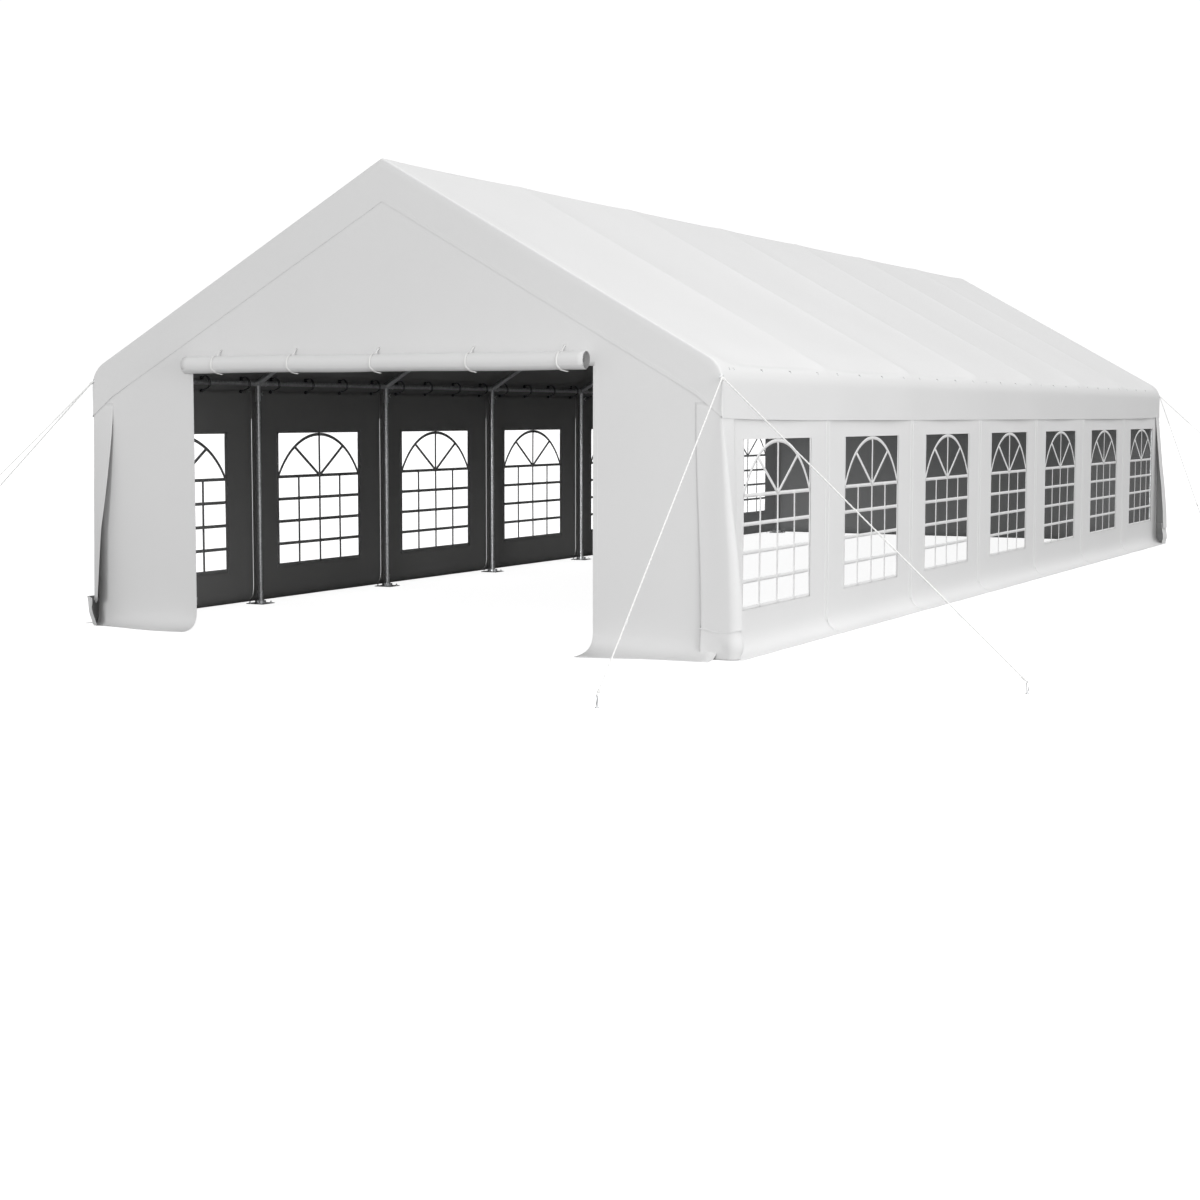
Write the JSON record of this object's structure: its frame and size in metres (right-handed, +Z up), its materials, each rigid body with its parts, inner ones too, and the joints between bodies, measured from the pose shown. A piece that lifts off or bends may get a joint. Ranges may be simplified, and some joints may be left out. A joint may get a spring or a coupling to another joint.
{
  "type": "marquee tent",
  "caption": "Long white marquee tent with steel portal frames, a pitched fabric roof, window walls along both sides, a rolled-up door in one gable and guy ropes at the corners.",
  "frame": {"origin": "on the ground, in the middle of the plan", "axes": "+Z up, -Y towards the open front doorway, Y along the ridge, X across the tent"},
  "size_m": [9.522, 18.7232, 3.3352],
  "materials": {
    "roof_fabric": "satin coated woven sheet, white outside and grey inside",
    "wall_fabric": "satin coated woven sheet, white outside and grey inside",
    "door_fabric": "satin coated woven sheet",
    "clear_film": "clear flexible film",
    "galvanised_steel": "galvanised tube",
    "rope": "braided white cord with a steel peg"
  },
  "bodies": {
    "root": {"roof_cover": "roof_fabric", "left_wall_panel_1": "wall_fabric", "left_wall_panel_2": "wall_fabric", "left_wall_panel_3": "wall_fabric", "left_wall_panel_4": "wall_fabric", "left_wall_panel_5": "wall_fabric", "left_wall_panel_6": "wall_fabric", "left_wall_panel_7": "wall_fabric", "left_window_film": "clear_film", "right_wall_panel_1": "wall_fabric", "right_wall_panel_2": "wall_fabric", "right_wall_panel_3": "wall_fabric", "right_wall_panel_4": "wall_fabric", "right_wall_panel_5": "wall_fabric", "right_wall_panel_6": "wall_fabric", "right_wall_panel_7": "wall_fabric", "right_window_film": "clear_film", "front_wall_gable": "wall_fabric", "front_wall_left": "wall_fabric", "front_wall_right": "wall_fabric", "rear_wall_gable": "wall_fabric", "rear_wall_left": "wall_fabric", "rear_wall_right": "wall_fabric", "front_door_roll": "door_fabric", "rear_door_curtain": "door_fabric", "corner_cover_front_right": "wall_fabric", "guy_rope_front_right_end": "rope", "guy_rope_front_right_side": "rope", "corner_cover_front_left": "wall_fabric", "guy_rope_front_left_end": "rope", "guy_rope_front_left_side": "rope", "corner_cover_rear_right": "wall_fabric", "guy_rope_rear_right_end": "rope", "guy_rope_rear_right_side": "rope", "corner_cover_rear_left": "wall_fabric", "guy_rope_rear_left_end": "rope", "guy_rope_rear_left_side": "rope", "portal_frame_1": "galvanised_steel", "portal_frame_2": "galvanised_steel", "portal_frame_3": "galvanised_steel", "portal_frame_4": "galvanised_steel", "portal_frame_5": "galvanised_steel", "portal_frame_6": "galvanised_steel", "portal_frame_7": "galvanised_steel", "portal_frame_8": "galvanised_steel", "ridge_rail": "galvanised_steel", "left_eave_rail": "galvanised_steel", "right_eave_rail": "galvanised_steel"}
  },
  "joints": []
}
